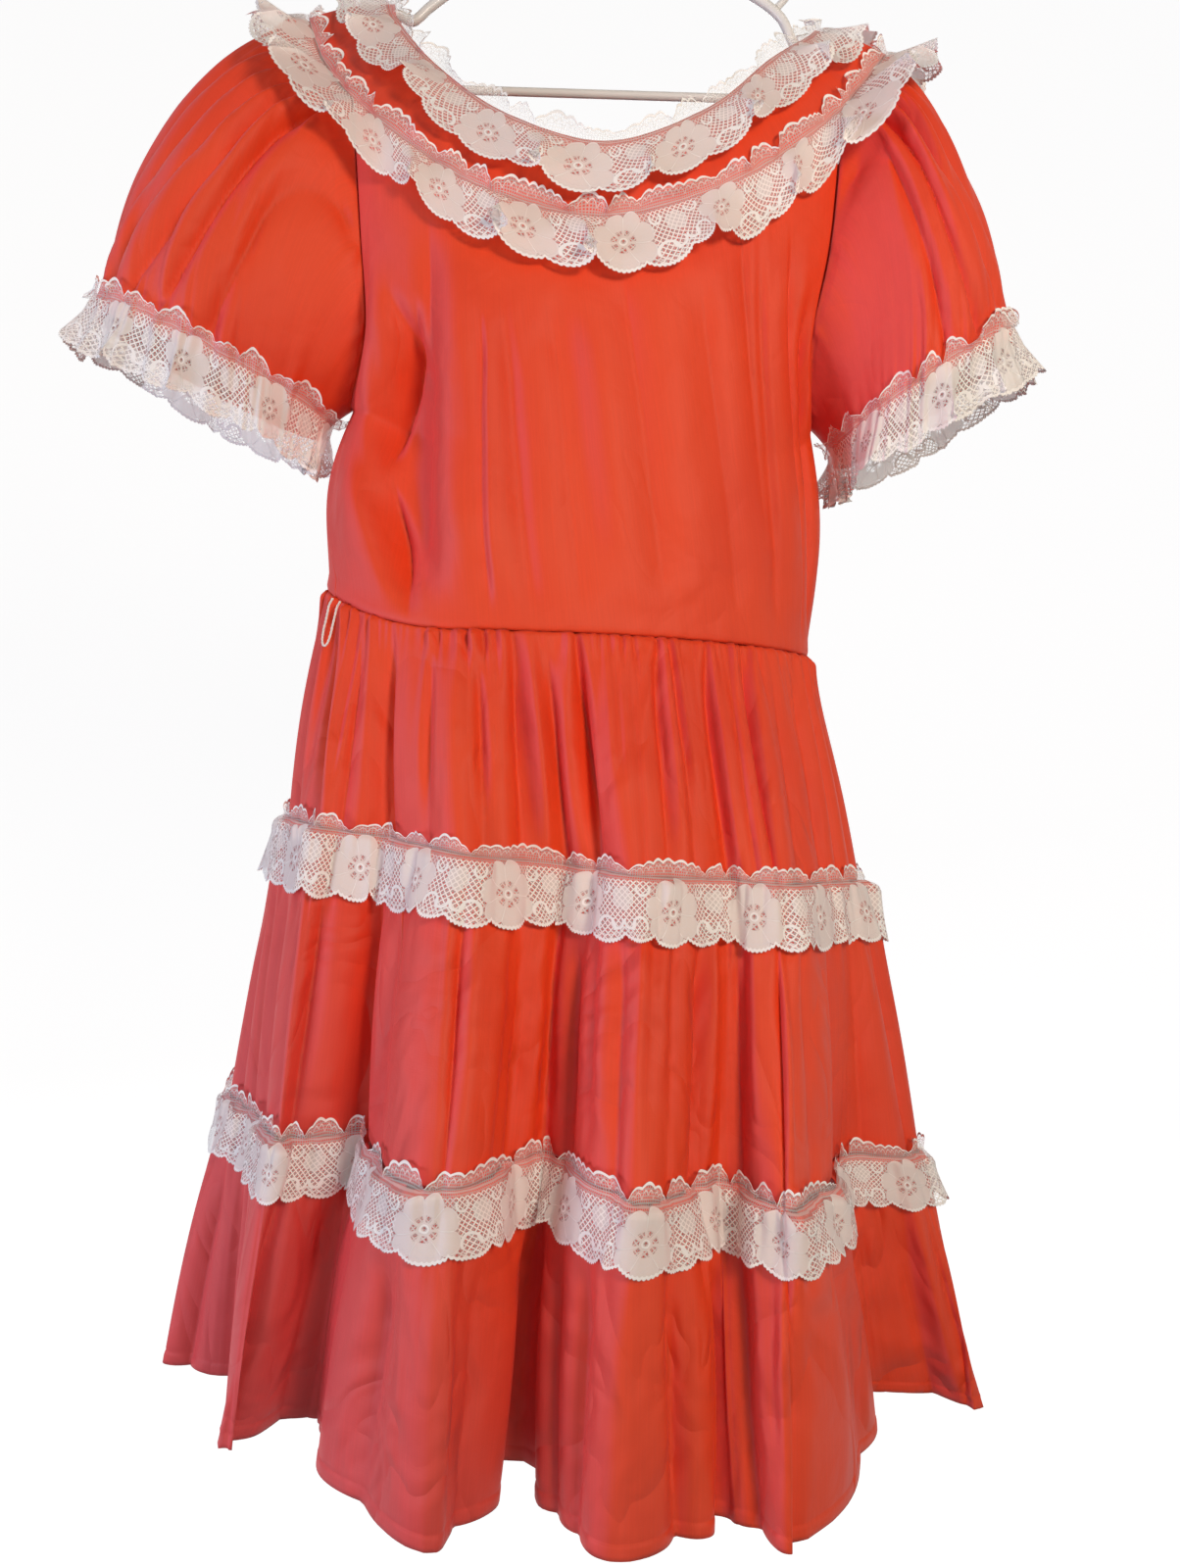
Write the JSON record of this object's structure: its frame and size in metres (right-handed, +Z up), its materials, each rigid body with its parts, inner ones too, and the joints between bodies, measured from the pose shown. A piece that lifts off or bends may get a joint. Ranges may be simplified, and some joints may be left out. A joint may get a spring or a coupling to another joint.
{
  "type": "square dance dress and hanger",
  "caption": "Square dance dress with a round lace-trimmed yoke, short puff sleeves and a tiered gathered skirt, hanging on a plain plastic hanger.",
  "frame": {"origin": "inside top of the hanger's hook, where it rests on the rod", "axes": "+Z up, +X toward the wearer's left, -Y toward the dress's front"},
  "size_m": [0.6596, 0.3879, 1.0668],
  "materials": {
    "cloth": "matte",
    "lace": "matte",
    "thread": "matte",
    "hanger_plastic": "gloss"
  },
  "bodies": {
    "root": {"yoke_front": "cloth", "yoke_back": "cloth", "bodice_front": "cloth", "bodice_back": "cloth", "sleeve_right": "cloth", "sleeve_left": "cloth", "skirt_tier_1_front": "cloth", "skirt_tier_1_back": "cloth", "skirt_tier_2_front": "cloth", "skirt_tier_2_back": "cloth", "skirt_tier_3_front": "cloth", "skirt_tier_3_back": "cloth", "neck_lace": "lace", "yoke_lace": "lace", "sleeve_lace_right": "lace", "sleeve_lace_left": "lace", "tier_lace_upper": "lace", "tier_lace_lower": "lace", "belt_loop": "thread", "hanger_hook": "hanger_plastic", "hanger_arms": "hanger_plastic", "hanger_bar": "hanger_plastic", "hanger_peg_right": "hanger_plastic", "hanger_peg_left": "hanger_plastic"}
  },
  "joints": []
}
